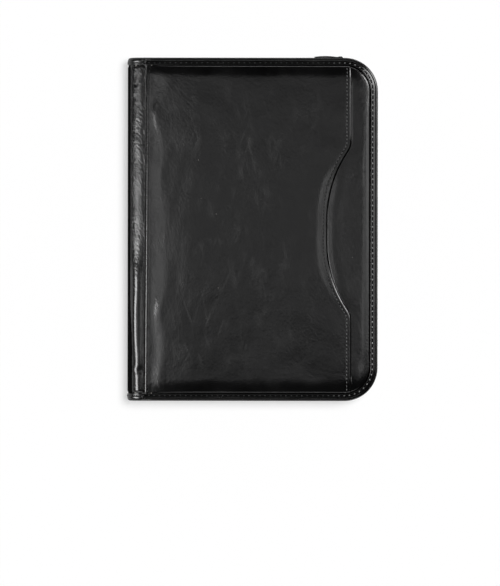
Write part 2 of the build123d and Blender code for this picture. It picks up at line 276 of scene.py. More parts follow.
# shader node groups that several finishes share
def makeLeatherGrain():
    inputs = {"Vector": "Vector", "Pores per metre": 900.0, "Creases per metre": 460.0}
    inputs.update({"Creases": 0.3, "Cross creases": 0.0})
    outputs = {"Height": 0.0, "Mottle": 0.0, "Scuffs": 0.0}
    group, given, out = newTree("ShaderNodeTree", "leatherGrain", inputs, outputs)
    place, perMetre = given["Vector"], given["Pores per metre"]
    pores = addNode(group, "TexVoronoi", {"Vector": place, "Scale": perMetre}, feature="SMOOTH_F1")
    pebble = mathNode("SUBTRACT", 1.0, pores.outputs["Distance"])
    fine = noise(place, times(perMetre, 1.7), 3)
    height = plus(times(pebble, 0.3), times(fine, 0.25))
    for lean, stretch, amount in ((-40, 2.2, "Cross creases"), (38, 3.0, "Creases")):
        line = stretchedNoise(place, lean, stretch, given["Creases per metre"], 2, 0.4)
        height = plus(height, times(line, given[amount]))
    wisps = []
    for lean, scale in ((13, 125), (-20, 100)):
        line = stretchedNoise(place, lean, 7.5, scale, 1.0, 0.12)
        off = mathNode("ABSOLUTE", mathNode("SUBTRACT", line, 0.5))
        wisps.append(valueRange(off, 1.0, 0.0, 0.0, 0.06))
    patch = valueRange(stretchedNoise(place, 5, 1.6, 62, 3, 0.3), 0.0, 1.0, 0.47, 0.72)
    link(height, out["Height"])
    link(noise(place, 26, 5, roughness=0.6), out["Mottle"])
    link(times(mathNode("MAXIMUM", *wisps), patch), out["Scuffs"])
    return group


def makeClothWeave():
    inputs = {"Vector": "Vector", "Threads per metre": 1600.0, "Twill": 0.5}
    group, given, out = newTree("ShaderNodeTree", "clothWeave", inputs, {"Height": 0.0, "Thread": 0.0})
    place = addNode(group, "SeparateXYZ", {0: given["Vector"]}).outputs
    turn = times(given["Threads per metre"], math.pi)

    def ribs(along):
        return mathNode("SINE", times(along, turn))

    plain = times(ribs(place["X"]), ribs(place["Y"]))
    twill = ribs(plus(place["X"], place["Y"]))
    mixed = plus(plain, times(twill, given["Twill"]))
    link(times(mixed, 0.5), out["Height"])
    link(noise(given["Vector"], 240, 3), out["Thread"])
    return group


def makeDustSpecks():
    inputs = {"Vector": "Vector", "Specks per metre": 55.0, "Share": 0.3}
    group, given, out = newTree("ShaderNodeTree", "dustSpecks", inputs, {"Dust": 0.0})
    spread = {"Vector": given["Vector"], "Scale": given["Specks per metre"]}
    cells = addNode(group, "TexVoronoi", spread, feature="F1").outputs
    pick = outputOf(group, "SeparateColor", {0: cells["Color"]})
    chosen = mathNode("LESS_THAN", pick, given["Share"])
    near = mathNode("LESS_THAN", cells["Distance"], 0.026)
    link(times(chosen, near), out["Dust"])
    return group


leatherGrain, clothWeave, dustSpecks = makeLeatherGrain(), makeClothWeave(), makeDustSpecks()


# finishes; a colour is a grey level, red, green and blue, or a socket
def newFinish(name, **sockets):
    finish = bpy.data.materials.new(name)
    finish.use_nodes = True
    shader = finish.node_tree.nodes["Principled BSDF"].inputs
    for label, value in sockets.items():
        shader[label.replace("_", " ")].default_value = value
    return finish, finish.node_tree


def objectVector(tree):
    return addNode(tree, "TexCoord").outputs["Object"]


def objectPlace(tree):
    return addNode(tree, "SeparateXYZ", {0: objectVector(tree)}).outputs


def useGroup(tree, group, values):
    return addNode(tree, "Group", {"Vector": objectVector(tree), **values}, node_tree=group).outputs


def colourMix(mask, low, high):
    inputs = {0: mask}
    for index, colour in ((6, low), (7, high)):
        if isinstance(colour, float):
            colour = (colour, colour, colour)
        inputs[index] = (*colour, 1) if isinstance(colour, tuple) else colour
    return addNode(mask.id_data, "Mix", inputs, data_type="RGBA").outputs[2]


def finishFrom(finish, colour, rough, height, strength, distance):
    tree = finish.node_tree
    bump = outputOf(tree, "Bump", {"Height": height, "Strength": strength, "Distance": distance})
    for label, socket in (("Base Color", colour), ("Roughness", rough), ("Normal", bump)):
        link(socket, tree.nodes["Principled BSDF"].inputs[label])
    return finish


def leatherFinish(
    name, dark, light, rough, pores, creases, bump, dust, specular=0.5, dry=None, calm=None, scuffs=None
):
    finish, tree = newFinish(name, Specular_IOR_Level=specular)
    values = dict(zip(("Creases", "Cross creases", "Creases per metre"), creases))
    grain = useGroup(tree, leatherGrain, {"Pores per metre": pores, **values})
    specks = useGroup(tree, dustSpecks, {"Share": dust})["Dust"]
    colour = colourMix(valueRange(grain["Mottle"]), dark, light)
    gloss = valueRange(grain["Mottle"], *rough)
    relief = times(grain["Height"], valueRange(grain["Mottle"], 0.5, 1.5))
    if scuffs:
        colour = colourMix(times(grain["Scuffs"], scuffs(tree)), colour, 0.02)
    if dry:
        gloss = mathNode("MAXIMUM", gloss, times(dry(tree), 0.9))
    if calm:
        relief = times(relief, calm(tree))
    colour = colourMix(specks, colour, (0.09, 0.085, 0.08))
    return finishFrom(finish, colour, gloss, relief, bump, 0.0004)


def smootherTail(tree):
    return valueRange(objectPlace(tree)["Y"], 0.25, 1.2, -0.09, 0.01)


def scuffedLeft(tree):
    place = objectPlace(tree)
    inside = valueRange(mathNode("ABSOLUTE", place["Y"]), 1.0, 0.0, 0.125, 0.146)
    return times(inside, valueRange(place["X"], 1.0, 0.35, -0.03, 0.06))


def dryFold(tree):
    return valueRange(mathNode("ABSOLUTE", objectPlace(tree)["Y"]), 0.0, 1.0, 0.1632, 0.1640)


def clothFinish(name, dark, light, rough, threads, twill, bump, sheen=0.0, paintedHighlight=None):
    finish, tree = newFinish(name, Specular_IOR_Level=0.3, Sheen_Weight=sheen, Sheen_Roughness=0.5)
    weave = useGroup(tree, clothWeave, {"Threads per metre": threads, "Twill": twill})
    colour = colourMix(valueRange(weave["Thread"]), dark, light)
    # painted highlight: the colour turns paler between two X positions, where the light falls
    if paintedHighlight:
        pale, start, end = paintedHighlight
        colour = colourMix(valueRange(objectPlace(tree)["X"], 0.0, 1.0, start, end), colour, pale)
    gloss = valueRange(weave["Height"], *rough, -0.5, 0.5)
    return finishFrom(finish, colour, gloss, weave["Height"], bump, 0.0002)


def speckledFinish(name, dark, light, rough, scale, bump, metallic=0.0, specular=0.5):
    finish, tree = newFinish(name, Metallic=metallic, Specular_IOR_Level=specular)
    cloud = noise(objectVector(tree), scale, 4)
    colour = colourMix(valueRange(cloud), dark, light)
    return finishFrom(finish, colour, valueRange(cloud, *rough), cloud, bump, 0.0003)


paper = {"spacing": 0.0087, "margin": -0.066, "ruledTo": 0.105, "top": 0.0121, "leavesPerMetre": 5200}


def paperFinish(name):
    finish, tree = newFinish(name, Specular_IOR_Level=0.3)
    place = objectPlace(tree)

    def less(value, limit):
        return mathNode("LESS_THAN", value, limit)

    def cycle(value, operation, length):
        return mathNode("FRACT", mathNode(operation, value, length))

    top = mathNode("GREATER_THAN", place["Z"], paper["top"])
    ruled = less(cycle(plus(place["Y"], 1.0), "DIVIDE", paper["spacing"]), 0.035)
    line = times(times(ruled, less(place["Y"], paper["ruledTo"])), top)
    aside = mathNode("ABSOLUTE", mathNode("SUBTRACT", place["X"], paper["margin"]))
    rule = times(less(aside, 0.00025), top)
    leaf = less(cycle(place["Z"], "MULTIPLY", paper["leavesPerMetre"]), 0.35)
    side = times(leaf, mathNode("SUBTRACT", 1.0, top))
    fibre = noise(objectVector(tree), 700)
    colour = colourMix(fibre, (0.78, 0.77, 0.72), (0.86, 0.85, 0.81))
    for mask, ink in ((side, (0.58, 0.57, 0.53)), (line, (0.42, 0.55, 0.70)), (rule, (0.72, 0.38, 0.38))):
        colour = colourMix(mask, colour, ink)
    return finishFrom(finish, colour, valueRange(fibre, 0.72, 0.88), fibre, 0.1, 0.0001)


# in the order of each function's inputs: dark, light, roughness and so on
coverLeather = leatherFinish(
    "coverLeather", (0.0006, 0.0006, 0.0007), (0.0018, 0.0018, 0.0019), (0.16, 0.26), 900, (0.8, 0.5, 520), 0.38,
    0.3, scuffs=scuffedLeft,
)
spineLeather = leatherFinish(
    "spineLeather", 0.0006, 0.0018, (0.16, 0.26), 800, (2.0, 0.5, 720), 0.52, 0.1, calm=smootherTail
)
spineBackLeather = leatherFinish(
    "spineBackLeather", 0.0006, 0.0018, (0.6, 0.8), 800, (1.6, 1.4, 460), 0.8, 0.1, specular=0.02
)
bindingLeather = leatherFinish(
    "bindingLeather", 0.0005, 0.0014, (0.18, 0.28), 1300, (0.4, 0.3, 460), 0.3, 0.1, dry=dryFold
)
pocketLeather = leatherFinish("pocketLeather", 0.0060, 0.0110, (0.42, 0.55), 1100, (0.3, 0.2, 460), 0.5, 0.0)
liningCloth = clothFinish(
    "liningCloth", (0.010, 0.010, 0.011), (0.020, 0.020, 0.021), (0.55, 0.75), 1500, 0.9, 0.35, 0.15
)
tapeCloth = clothFinish("tapeCloth", 0.006, 0.014, (0.6, 0.8), 1400, 0.2, 0.5, 0.1)
elasticCloth = clothFinish("elasticCloth", 0.006, 0.013, (0.6, 0.8), 900, 0.0, 0.6, 0.1)
threadFinish = clothFinish(
    "sewingThread", 0.006, 0.010, (0.25, 0.38), 2600, 1.0, 0.3, 0.0, (0.24, 0.072, 0.116)  # paler at the fore edge: a painted highlight where the light from the right catches the thread
)
# painted shade: a dull near-black finish for faces in the mouth's notch, in the gap and grooves of the bindings and
# on the pocket's cut edge
rawEdge = speckledFinish("rawEdge", 0.0004, 0.0010, (0.9, 1.0), 700, 0.1, 0.0, 0.03)
# painted shade: dark dull beads at the needle holes between the stitches
needleHole = speckledFinish("needleHole", 0.0003, 0.0008, (0.9, 1.0), 900, 0.1, 0.0, 0.05)
toothPlastic = speckledFinish("toothPlastic", 0.006, 0.011, (0.28, 0.42), 900, 0.08)
blackMetal = speckledFinish("blackMetal", 0.012, 0.022, (0.22, 0.36), 500, 0.05, 0.6)
boardGrey = speckledFinish("boardGrey", (0.16, 0.15, 0.14), (0.24, 0.23, 0.21), (0.8, 0.95), 900, 0.2)
padCard = speckledFinish("padCard", (0.30, 0.24, 0.17), (0.40, 0.33, 0.24), (0.75, 0.9), 600, 0.2)
padTape = speckledFinish("padTape", (0.012, 0.014, 0.020), (0.022, 0.025, 0.034), (0.5, 0.65), 1200, 0.2)
rulePaper = paperFinish("rulePaper")
print("finishes made")


# geometry node trees for what is sewn or follows an edge
def painted(made, finish):
    tree = made.id_data
    real = outputOf(tree, "GeometryNodeRealizeInstances", {0: made})
    smooth = outputOf(tree, "GeometryNodeSetShadeSmooth", {0: real})
    return outputOf(tree, "GeometryNodeSetMaterial", {"Geometry": smooth, "Material": finish})


def makeStitchTree():
    inputs = {
        "Geometry": "Geometry", "Pitch": 0.005, "Length": 0.0036, "Width": 0.0009, "Height": 0.0006, "Slant": 0.2,
        "Unevenness": 0.05, "Hole": 0.0008, "Hole depth": 0.00015, "Thread": "Material", "Hole finish": "Material",
    }
    tree, given, out = newTree("GeometryNodeTree", "stitchRow", inputs, {"Geometry": "Geometry"})
    path = outputOf(tree, "GeometryNodeMeshToCurve", {"Mesh": given["Geometry"]})
    even = addNode(tree, "GeometryNodeResampleCurve", {"Curve": path, "Length": given["Pitch"]}, mode="LENGTH")
    tangent = outputOf(tree, "GeometryNodeInputTangent")
    up = outputOf(tree, "GeometryNodeInputNamedAttribute", {"Name": "up"}, data_type="FLOAT_VECTOR")
    axes = {"primary_axis": "Z", "secondary_axis": "Y"}
    facing = outputOf(tree, "FunctionNodeAxesToRotation", {0: tangent, 1: up}, **axes)
    low, high = (mathNode(kind, given["Slant"], given["Unevenness"]) for kind in ("SUBTRACT", "ADD"))
    stray = addNode(tree, "FunctionNodeRandomValue", {2: low, 3: high, "Seed": 7}, data_type="FLOAT").outputs[1]
    turn = outputOf(tree, "CombineXYZ", {1: stray})
    spin = outputOf(tree, "FunctionNodeEulerToRotation", {0: turn})
    turned = outputOf(tree, "FunctionNodeRotateRotation", {0: facing, 1: spin}, rotation_space="LOCAL")

    def beads(across, high, along, rings, rotation):
        ball = addNode(tree, "GeometryNodeMeshUVSphere", {"Segments": 8, "Rings": rings, "Radius": 0.5})
        size = addNode(tree, "CombineXYZ", {0: given[across], 1: given[high], 2: given[along]})
        shape = {"Geometry": ball.outputs["Mesh"], "Scale": size.outputs[0]}
        shaped = addNode(tree, "GeometryNodeTransform", shape)
        spread = {"Points": even.outputs[0], "Instance": shaped.outputs[0], "Rotation": rotation}
        return outputOf(tree, "GeometryNodeInstanceOnPoints", spread)

    # the hole beads are painted shade in the needle holes
    sunk, ahead = times(given["Hole depth"], -0.1), times(given["Pitch"], 0.5)
    offset = outputOf(tree, "CombineXYZ", {1: sunk, 2: ahead})
    holes = {"Instances": beads("Hole", "Hole depth", "Hole", 4, facing), "Translation": offset}
    moved = outputOf(tree, "GeometryNodeTranslateInstances", holes)
    threads = beads("Width", "Height", "Length", 5, turned)
    both = addNode(tree, "GeometryNodeJoinGeometry")
    for made, finish in ((moved, "Hole finish"), (threads, "Thread")):
        link(painted(made, given[finish]), both.inputs[0])
    link(both.outputs[0], out[0])
    return tree


def makeStripTree():
    inputs = {
        "Geometry": "Geometry", "Section": "Object", "Ripple": 0.0, "Ripples per metre": 60.0, "Finish": "Material"
    }
    tree, given, out = newTree("GeometryNodeTree", "stripAlongEdge", inputs, {"Geometry": "Geometry"})
    path = outputOf(tree, "GeometryNodeMeshToCurve", {"Mesh": given["Geometry"]})
    level = outputOf(tree, "GeometryNodeSetCurveNormal", {0: path}, mode="Z_UP")
    drawn = addNode(tree, "GeometryNodeObjectInfo", {"Object": given["Section"]}).outputs["Geometry"]
    section = outputOf(tree, "GeometryNodeMeshToCurve", {"Mesh": drawn})
    run = {"Curve": level, "Profile Curve": section, "Fill Caps": True}
    swept = outputOf(tree, "GeometryNodeCurveToMesh", run)
    cloud = outputOf(tree, "TexNoise", {"Scale": given["Ripples per metre"]})
    swing = mathNode("SUBTRACT", cloud, 0.5)
    lift = outputOf(tree, "CombineXYZ", {2: times(swing, given["Ripple"])})
    moved = outputOf(tree, "GeometryNodeSetPosition", {"Geometry": swept, "Offset": lift})
    link(painted(moved, given["Finish"]), out[0])
    return tree


stitchTree, stripTree = makeStitchTree(), makeStripTree()


def polyline(name, points, closed=False, up=None):
    count = len(points)
    edges = [(i, (i + 1) % count) for i in range(count - 1 + closed)]
    obj = makeObject(name, points, [], edges)
    if up is not None:
        stored = obj.data.attributes.new("up", "FLOAT_VECTOR", "POINT")
        facing = np.broadcast_to(np.asarray(up, float), (count, 3))
        stored.data.foreach_set("vector", facing.astype(np.float32).ravel())
    return obj


def growNodes(obj, tree, values):
    work = obj.modifiers.new(tree.name, "NODES")
    work.node_group = tree
    for item in tree.interface.items_tree:
        if item.item_type == "SOCKET" and item.in_out == "INPUT" and item.name in values:
            work[item.identifier] = values[item.name]
    bpy.context.view_layer.update()
    graph = bpy.context.evaluated_depsgraph_get()
    made = bpy.data.meshes.new_from_object(obj.evaluated_get(graph), depsgraph=graph)
    plain = obj.data
    obj.modifiers.clear()
    obj.data = made
    made.name = obj.name
    bpy.data.meshes.remove(plain)
    return obj


def edgeStrip(name, left, section, front, finish, ripple=0.0, ripples=60.0):
    drawn = polyline(name + "Section", [(e, -z, 0) for e, z in onSide(section, front)], closed=True)
    strip = polyline(name, [(x, y, 0) for x, y in outlinePath(left)])
    values = {"Section": drawn, "Ripple": ripple * mm, "Ripples per metre": ripples, "Finish": finish}
    growNodes(strip, stripTree, values)
    bpy.data.objects.remove(drawn)
    return tidyNormals(strip)


def dress(obj, finish, slotName, body=None, *stoodFor):
    if finish is not None:
        obj.data.materials.clear()
        obj.data.materials.append(finish)
    if body:
        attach(obj, body)
    if stoodFor:
        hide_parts(*stoodFor)
    return obj


edgeSewing = {"Pitch": 5.07, "Length": 1.7, "Width": 1.3, "Height": 0.8, "Hole": 0.9, "Hole depth": 0.2}
fineSewing = {"Pitch": 3.53, "Length": 1.9, "Width": 0.8, "Height": 0.7, "Hole": 1.4, "Hole depth": 0.3}
seamSewing = {"Pitch": 3.53, "Length": 1.7, "Width": 0.5, "Height": 0.4, "Hole": 1.4, "Hole depth": 0.3}


def sew(name, points, up, sewing, body=None, slant=0.2):
    values = {label: size * mm for label, size in sewing.items()}
    values.update({"Slant": slant, "Unevenness": 0.06, "Thread": threadFinish, "Hole finish": needleHole})
    return dress(growNodes(polyline(name, points, up=up), stitchTree, values), None, "zip_tape", body)


def markFaces(obj, finish, chosen):
    centre = np.empty(3 * len(obj.data.polygons))
    obj.data.polygons.foreach_get("center", centre)
    x, y, z = centre.reshape(-1, 3).T / mm
    obj.data.materials.append(finish)
    obj.data.polygons.foreach_set("material_index", chosen(x, y, z).astype(np.int32))


# padded panels
padding = {
    "rise": 2.4,  # how far the padding stands up
    "roll": 12.0,  # how far it takes to rise from the binding
    "tailRoll": 0.15,  # by which share that grows at the tail
    "foreRoll": 0.4,  # and shrinks at the fore edge
    "tuck": 0.28,  # share of the rise that is a steep tuck
    "tuckWidth": 0.45,
    "riseX": -99.5,  # where it starts from the seam
    "seamRolls": (14.0, 48.0),  # and how far it takes: a short roll and a long one
    "shortShare": 0.48,
    "swell": 0.09,  # height of the slow waves in it
}


def padRise(x, y):
    p = padding
    d = np.maximum(edgeDistance(x, y) - cover["sewnInset"], 0)
    roll = p["roll"] * (1 + p["tailRoll"] * softStep((-y - 40) / 60) + 0.09 * waves(x, y, 60, 15))
    roll = roll * (1 - p["foreRoll"] * softStep((x - 92) / 14) * softStep((135 - np.abs(y)) / 20))
    t = np.clip(d / roll, 0, 1)
    fromEdge = p["tuck"] * (1 - np.exp(-d / p["tuckWidth"])) + (1 - p["tuck"]) * (1 - (1 - t) ** 2)
    first = p["shortShare"] + 0.04 * softStep((30 - y) / 60) * softStep((y + 140) / 40)
    short, long = p["seamRolls"]
    short = short * (1 + 0.32 * waves(x, y, 46, 7))
    past = x - p["riseX"]
    return fromEdge * (first * softStep(past / short) + (1 - first) * softStep(past / long))


def padMiddle(x, y):
    return softStep((edgeDistance(x, y) - 9) / 12)


def seamLine(y):
    return cover["seamX"] - 0.3 + cover["seamAskew"] * np.asarray(y) / halfHeight


def coverRows(inset, arcCount, flatCount):
    turn = bendY + (cornerRadius - inset) * np.sin(np.linspace(0, math.pi / 2, arcCount))
    return np.concatenate([-turn[::-1], np.linspace(-bendY, bendY, flatCount)[1:-1], turn])


def columns(rows, *parts):
    x = np.hstack(parts)
    return x, np.broadcast_to(rows[:, None], x.shape)


def panelGrid(inset, left, step, near, far, middleCount):
    rows = coverRows(inset, 26, int(2 * bendY / step) + 1)
    right, start = foreEdge(rows, inset), np.full(len(rows), left)
    near, far = np.asarray(near, float), np.asarray(far, float)
    middle = between(start + near[-1], right - far[-1], middleCount)
    return columns(rows, start[:, None] + near, middle, right[:, None] - far[::-1])


mouth = {
    "x": 94.0, "depth": 22.8, "half": 81.4, "flatHalf": 44.3, "centre": -1.3, "cornerRadius": 14.0,
    "sweepRadius": 118.0,
    "valley": 1.4,  # the padding slopes down to the scoop on both sides
    "slopeWidth": (11.0, 9.0),
    "swell": 0.75,  # the layer below stands up beyond the edge
    "notch": 1.0,  # with a painted shadow line between
    "shadow": (-0.5, 0.95),  # from where to where the shadow line is painted
    "lipFrom": 84.0,  # nearer the head the edge is a plain lip
    "shadeSpan": (-34.0, 86.0),  # between these heights the cut edge and the notch beside it are painted dark as shade
}
mouthEdge = [(mouth["x"], 200.0), (mouth["x"], mouth["half"]), (mouth["x"] - mouth["depth"], mouth["flatHalf"])]
mouthEdge += [(x, -y) for x, y in mouthEdge[::-1]]
mouthRadii = [mouth["cornerRadius"], mouth["sweepRadius"]]
mouthPath = roundedPath([(x, mouth["centre"] + y) for x, y in mouthEdge], mouthRadii + mouthRadii[::-1])


def mouthX(y):
    return np.interp(y, mouthPath[::-1, 1], mouthPath[::-1, 0])


def mouthStretch(y):
    lean = mouthX(y + 0.5) - mouthX(y - 0.5)
    return np.sqrt(1 + lean * lean)


def pastMouth(x, y):
    return (x - mouthX(y)) / mouthStretch(y)


def inScoop(y, half, fade):
    return softStep((half - np.abs(y - mouth["centre"])) / fade)


def mouthValley(x, y):
    away = x - mouthX(y)
    inner, beyond = mouth["slopeWidth"]
    grid = np.linspace(0, 1, 81)
    rise = np.cumsum(softStep(grid / 0.12) * softStep((1 - grid) / 0.3))  # an even slope with soft ends
    climb = np.interp(np.where(away < 0, -away / inner, away / beyond), grid, rise / rise[-1])
    return -mouth["valley"] * (1 - climb) * inScoop(y, 70, 30)


def frontPad():
    inset = 3.0
    rows = coverRows(inset, 80, 150)
    right = foreEdge(rows, inset)
    near = np.array([0, 1, 2.4, 4.0, 5.6, 7.5, 10, 13, 17])
    lip = np.array([
        -3, -1.2, -0.5, -0.26, -0.2, 0.05, 0.25, 0.35, 0.45, 0.65,
        0.88, 0.95, 1.02, 1.2, 1.5, 1.9, 2.5, 3.3, 4.6, 6.2,
    ])
    edge = np.array([
        0, 2.5, 3.7, 3.9, 3.96, 4.2, 4.4, 4.5, 4.6, 4.8, 5.02,
        5.08, 5.15, 5.5, 5.9, 6.5, 7.3, 8.3, 9.5, 11, 12.8, 14.8,
    ])
    start = np.full(len(rows), cover["padX"])
    lipX = np.minimum(mouthX(rows), right - edge[-1] - lip[-1] - 1.5)
    fill = between(start + near[-1], lipX + lip[0], 24)
    gap = between(lipX + lip[-1], right - edge[-1], 5)
    x, y = columns(rows, start[:, None] + near, fill, lipX[:, None] + lip, gap, right[:, None] - edge[::-1])
    top = cover["flangeTop"] - 0.1 + (padding["rise"] + 0.03) * padRise(x, y)
    top = top - 0.9 * crease(edgeDistance(x, y) - cover["gapInset"], 0.55)
    past = pastMouth(x, y)
    beyond = np.maximum(past, 0)
    swell = mouth["swell"] * softStep((beyond - 0.2) / 0.9) * bell(beyond, 13) * inScoop(y, 78, 26)
    notch = mouth["notch"] * crease(past - 0.3, 0.6) * (1 - 0.8 * softStep((y - mouth["lipFrom"]) / 8))
    shoulder = 0.2 * softStep((y - 78) / 14) * bell(past - 1.3, 0.4)
    slow = padding["swell"] * waves(x, y, 46, 3)
    top = top + padMiddle(x, y) * (slow + mouthValley(x, y) + swell - notch + shoulder)
    return slab("frontPad", x, y, top, cover["boardTop"] + 0.02)


def panelTop(x, y):
    inside = padMiddle(x, y) * softStep((x - cover["padX"]) / 10)
    swell = padding["swell"] * waves(x, y, 46, 3) + 0.05 * waves(x, y * 0.6, 17, 8)
    return (padding["rise"] - 0.02) * padRise(x, y) + inside * (swell + mouthValley(x, y))


pocket = {
    "thickness": 1.0, "stitchFromSeam": 2.4, "stitchFromMouth": 3.4, "groove": 0.08, "bead": 0.05,
    "seamHalf": 155.5, "mouthHalf": 154.0,  # half lengths of the two rows
    "backStitch": 1.8,  # the back panel's row, from its seam
    "seamRound": 1.2,  # width and drop of the folded edge at the seam
    "seamDrop": 0.6,
    "thinEnds": 0.5,  # the leather is pressed thin under the head and tail bindings
    "curl": (-32.0, -88.0),  # the scoop's lower edge curls down from here to here
}


def pocketPanel():
    p = pocket
    inset = cover["sewnInset"] - 0.05
    top = halfHeight - inset
    near = [0, 0.12, 0.3, 0.6, 1.1, 1.8, 2.6, 3.6, 4.8, 6.2, 7.8, 9.6, 11.6]
    rows = edgeSpaced(-top, top, 1.3, near)
    right = np.minimum(mouthX(rows), foreEdge(rows, inset))
    left = np.array([
        0, 0.06, 0.15, 0.3, 0.5, 0.8, 1.1, 1.5, 1.9, 2.2, 2.6, 3.0,
        3.6, 4.3, 5.4, 6.4, 7.4, 8.6, 10, 12, 14, 16.5, 20,
    ])
    back = np.array([
        0, 0.12, 0.25, 0.45, 0.8, 1.1, 1.4, 1.8, 2.3, 2.7, 3.0,
        3.4, 3.8, 4.3, 5.2, 6.4, 8, 10, 12.5, 15.5, 19,
    ])
    seam = seamLine(rows)
    middle = between(seam + left[-1], right - back[-1], 44)
    x, y = columns(rows, seam[:, None] + left, middle, right[:, None] - back[::-1])
    low = cover["flangeTop"] + 0.02 + panelTop(x, y)
    fromSeam = x - seam[:, None]
    fromMouth = (right[:, None] - x) / mouthStretch(rows)[:, None]
    fromEnd = top - np.abs(y)
    high = low + p["thickness"] - p["thinEnds"] * (1 - softStep(fromEnd / 9))
    flatter = 1 - 0.9 * inScoop(y, 78, 26)
    rowsOfStitches = ((fromSeam, p["stitchFromSeam"], 1.0), (fromMouth, p["stitchFromMouth"], flatter))
    for away, line, amount in rowsOfStitches:
        high = high - p["groove"] * bell(away - line, 0.5) + p["bead"] * amount * bell(away - 0.5 * line, 0.8)
    curlHigh, curlLow = p["curl"]
    curl = softStep((curlHigh - y) / 16) * softStep((y - curlLow) / 6)
    lip = softStep((y - mouth["lipFrom"]) / 8)
    high = high - roundOff(fromSeam, p["seamDrop"], p["seamRound"]) - roundOff(fromEnd, 0.4)
    high = high - 0.5 * curl * crease(fromMouth, 0.95) - 0.32 * lip * crease(fromMouth, 0.75)
    high = high - roundOff(fromMouth, 0.4, 0.3) * (1 - curl) * (1 - lip)
    return slab("frontPocketPanel", x, y, high, low), float(np.trapz(right - seam, rows))


def backPad():
    left, flange, inset = cover["seamX"], cover["flangeTop"], cover["sewnInset"] - 0.05
    near = [0, 0.12, 0.3, 0.6, 1.0, 1.4, 1.8, 2.2, 2.7, 3.6, 4.6, 5.25, 5.45, 6.0, 6.8, 7.8, 9, 10.5, 12.5, 15, 18]
    far = [0, 0.12, 0.3, 0.7, 1.3, 2.1, 3.1, 4.3, 5.7, 7.5, 10, 13, 17]
    x, y = panelGrid(inset, left, 3.0, near, far, 40)
    inside = padMiddle(x, y) * softStep((x - cover["padX"]) / 10)
    high = flange + 1.0 + (padding["rise"] - 1.0) * padRise(x, y) - inside * np.abs(0.05 * waves(x, y, 40, 12))
    away, line = x - left, pocket["backStitch"]
    high = high - pocket["groove"] * bell(away - line, 0.5) + pocket["bead"] * bell(away - line / 2, 0.8)
    high = high - roundOff(np.minimum(away, edgeDistance(x, y) - inset), 0.4)
    low = np.where(x < cover["padX"] - 0.1, flange, cover["boardTop"]) + 0.02
    return slab("backPad", x, y, high, low, front=False)


# faces painted as shade: the shadow line along the mouth and the gap beside the binding
def inShadow(x, y, z):
    past = pastMouth(x, y)
    low, high = mouth["shadow"]
    inGap = np.abs(edgeDistance(x, y) - cover["gapInset"]) < 0.6
    return (past > low) & (past < high) & (y < mouth["shadeSpan"][1]) | inGap


# the pocket panel's edge along the scoop, painted as shade
def onMouthEdge(x, y, z):
    low, high = mouth["shadeSpan"]
    return (pastMouth(x, y) > mouth["shadow"][0]) & (y > low) & (y < high)


base = dress(frontPad(), coverLeather, "black_leather", "front_cover", "front_base_panel", "front_foam")
# painted shade on the pad's faces in the mouth's notch and the binding gap
markFaces(base, rawEdge, inShadow)
panel, panelArea = pocketPanel()
dress(panel, coverLeather, "black_leather", "front_cover", "front_pocket_panel")
# painted shade on the pocket panel's cut edge along the scoop
markFaces(panel, rawEdge, onMouthEdge)
under = dress(backPad(), coverLeather, "black_leather", "back_cover", "back_panel", "back_foam")
print("padded panels made")


# edge bindings and the rows of stitches outside
binding = {
    "start": -105.5,  # where the spine's own bindings take over
    "stitchInset": 5.22, "stitchZ": 24.12, "ripple": 0.35, "grooves": ((4.75, 5.68), (2.1, 2.7)),
    "section": [
        (7, 23.55), (7.05, 23.95), (6.9, 24.3), (6.6, 24.46), (6.2, 24.38), (5.7, 24.24), (5.48, 24.05),
        (5.22, 24), (4.96, 24.03), (4.72, 24.22), (4.45, 24.2), (4, 24.05), (3.5, 23.85), (2.95, 23.64),
        (2.72, 23.48), (2.5, 23.3), (2.28, 23.34), (2.05, 23.46), (1.75, 23.4), (1.4, 23.26), (1.05, 23.1),
        (0.65, 22.82), (0.3, 22.35), (0.06, 21.6), (0.38, 20.7), (1, 20.02), (1.75, 19.48), (2.3, 19.26),
        (2.52, 19.5), (2.4, 19.92), (1.6, 20.25), (1.05, 20.9), (0.86, 21.6), (1.12, 22.2), (1.6, 22.6),
        (2.4, 22.95), (4, 23.3),
    ],
}


# the binding's grooves, painted as shade
def inGroove(x, y, z):
    inset = edgeDistance(x, y)
    within = [(inset > low) & (inset < high) for low, high in binding["grooves"]]
    return (within[0] | within[1]) & (np.abs(z - cover["middle"]) > 10)


for side, ripples in (("front", 90), ("back", 80)):
    name, section = side + "Binding", binding["section"]
    strip = edgeStrip(name, binding["start"], section, side == "front", bindingLeather, binding["ripple"], ripples)
    dress(strip, bindingLeather, "binding_leather", side + "_cover", side + "_binding")
    # painted shade in the binding's grooves
    markFaces(strip, rawEdge, inGroove)

sides = (("front", (0, 0, 1)), ("back", (0, 0, -1)))
y = np.linspace(pocket["seamHalf"], -pocket["seamHalf"], 60)
edgeRow = insetPath(binding["start"] + 1, binding["stitchInset"], binding["stitchZ"])
seamX = {"front": seamLine(y) + pocket["stitchFromSeam"]}
seamX["back"] = np.full(60, cover["seamX"] + pocket["backStitch"])
for side, up in sides:
    sew(side + "BindingStitches", onSide(edgeRow, side == "front"), up, edgeSewing, side + "_cover", 0.5)
for side, up in sides:
    row = np.column_stack([seamX[side], y, np.full(60, cover["flangeTop"] + 0.85)])
    sew(side + "SeamStitches", onSide(row, side == "front"), up, seamSewing, side + "_cover")

y = np.linspace(pocket["mouthHalf"], -pocket["mouthHalf"], 240)
x = mouthX(y)
lean = np.gradient(x, y)
back = pocket["stitchFromMouth"] / np.sqrt(1 + lean * lean)
px, py = x - back, y + back * lean
row = np.column_stack([px, py, cover["flangeTop"] + pocket["thickness"] - 0.1 + panelTop(px, py)])
sew("mouthStitches", row, (0, 0, 1), fineSewing, "front_cover")
print("bindings and rows of stitches made")
